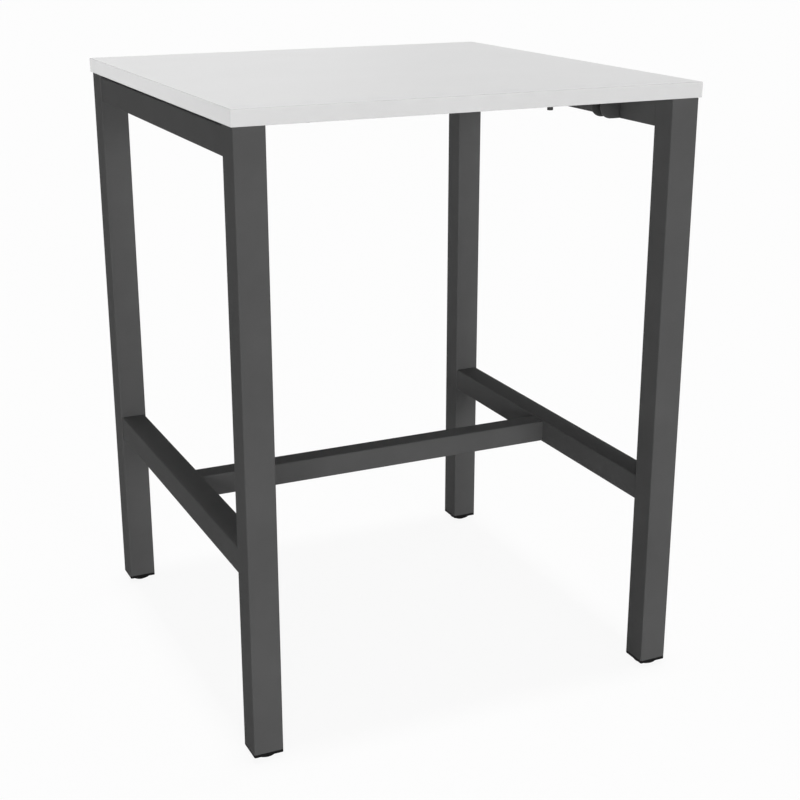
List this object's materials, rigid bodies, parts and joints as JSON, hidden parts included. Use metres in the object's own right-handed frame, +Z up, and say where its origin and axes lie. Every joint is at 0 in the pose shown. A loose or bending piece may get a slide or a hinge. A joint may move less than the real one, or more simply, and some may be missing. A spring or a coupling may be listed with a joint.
{
  "type": "bar-height table",
  "caption": "Square bar-height table: an edged panel on two welded tube frames tied by a low stretcher and beams under the panel, on screw-in levelling feet.",
  "frame": {"origin": "on the floor, under the centre of the tabletop", "axes": "+X to the right along the front edge, in line with the stretcher; +Y to the back, along the foot rails; +Z up"},
  "size_m": [0.8, 0.8, 1.05],
  "materials": {
    "laminate_top": "melamine-faced chipboard, light grey, satin",
    "edging": "ABS edging, light grey, satin",
    "coated_steel": "dark grey powder coat, fine matt",
    "black_steel": "black dip coat on steel sheet and black zinc on screws, matt",
    "black_plastic": "moulded black nylon",
    "zinc_steel": "bright zinc plate"
  },
  "bodies": {
    "frame": {"beam_bracket_back_left": "black_steel", "beam_bracket_back_right": "black_steel", "beam_bracket_front_left": "black_steel", "beam_bracket_front_right": "black_steel", "beam_flat_screws": "black_steel", "beam_rivet_nuts": "zinc_steel", "beam_screws": "black_steel", "beam_washers": "black_steel", "bracket_screws": "black_steel", "cross_beam_back": "coated_steel", "cross_beam_front": "coated_steel", "edge_band_back": "edging", "edge_band_front": "edging", "edge_band_left": "edging", "edge_band_right": "edging", "foot_insert_back_left": "black_plastic", "foot_insert_back_right": "black_plastic", "foot_insert_front_left": "black_plastic", "foot_insert_front_right": "black_plastic", "foot_rail_left": "coated_steel", "foot_rail_right": "coated_steel", "leg_back_left": "coated_steel", "leg_back_right": "coated_steel", "leg_cap_back_left": "coated_steel", "leg_cap_back_right": "coated_steel", "leg_cap_front_left": "coated_steel", "leg_cap_front_right": "coated_steel", "leg_front_left": "coated_steel", "leg_front_right": "coated_steel", "rail_rivet_nuts": "zinc_steel", "spigot_rivet_nuts": "zinc_steel", "stretcher": "coated_steel", "stretcher_screws": "black_steel", "stretcher_spigot_left": "coated_steel", "stretcher_spigot_right": "coated_steel", "tabletop_core": "laminate_top", "top_rail_left": "coated_steel", "top_rail_right": "coated_steel", "top_screws": "zinc_steel"},
    "foot_pad_front_left": {"foot_pad_front_left": "black_plastic"},
    "foot_stud_front_left": {"foot_stud_front_left": "zinc_steel"},
    "foot_pad_front_right": {"foot_pad_front_right": "black_plastic"},
    "foot_stud_front_right": {"foot_stud_front_right": "zinc_steel"},
    "foot_pad_back_left": {"foot_pad_back_left": "black_plastic"},
    "foot_stud_back_left": {"foot_stud_back_left": "zinc_steel"},
    "foot_pad_back_right": {"foot_pad_back_right": "black_plastic"},
    "foot_stud_back_right": {"foot_stud_back_right": "zinc_steel"}
  },
  "joints": [
    {"name": "foot_height_front_left", "type": "slide", "parent": "frame", "child": "foot_pad_front_left", "axis": [0, 0, -1], "range_m": [0, 0.01]},
    {"name": "foot_turn_front_left", "type": "hinge", "parent": "foot_pad_front_left", "child": "foot_stud_front_left", "pos_m": [-0.3715, -0.3715, 0], "axis": [0, 0, -1], "range_deg": [0, 2880]},
    {"name": "foot_height_front_right", "type": "slide", "parent": "frame", "child": "foot_pad_front_right", "axis": [0, 0, -1], "range_m": [0, 0.01]},
    {"name": "foot_turn_front_right", "type": "hinge", "parent": "foot_pad_front_right", "child": "foot_stud_front_right", "pos_m": [0.3715, -0.3715, 0], "axis": [0, 0, -1], "range_deg": [0, 2880]},
    {"name": "foot_height_back_left", "type": "slide", "parent": "frame", "child": "foot_pad_back_left", "axis": [0, 0, -1], "range_m": [0, 0.01]},
    {"name": "foot_turn_back_left", "type": "hinge", "parent": "foot_pad_back_left", "child": "foot_stud_back_left", "pos_m": [-0.3715, 0.3715, 0], "axis": [0, 0, -1], "range_deg": [0, 2880]},
    {"name": "foot_height_back_right", "type": "slide", "parent": "frame", "child": "foot_pad_back_right", "axis": [0, 0, -1], "range_m": [0, 0.01]},
    {"name": "foot_turn_back_right", "type": "hinge", "parent": "foot_pad_back_right", "child": "foot_stud_back_right", "pos_m": [0.3715, 0.3715, 0], "axis": [0, 0, -1], "range_deg": [0, 2880]}
  ],
  "couplings": [
    {"joint": "foot_turn_front_left", "follows": "foot_height_front_left", "rad_per_m": 5026.5},
    {"joint": "foot_turn_front_right", "follows": "foot_height_front_right", "rad_per_m": 5026.5},
    {"joint": "foot_turn_back_left", "follows": "foot_height_back_left", "rad_per_m": 5026.5},
    {"joint": "foot_turn_back_right", "follows": "foot_height_back_right", "rad_per_m": 5026.5}
  ]
}
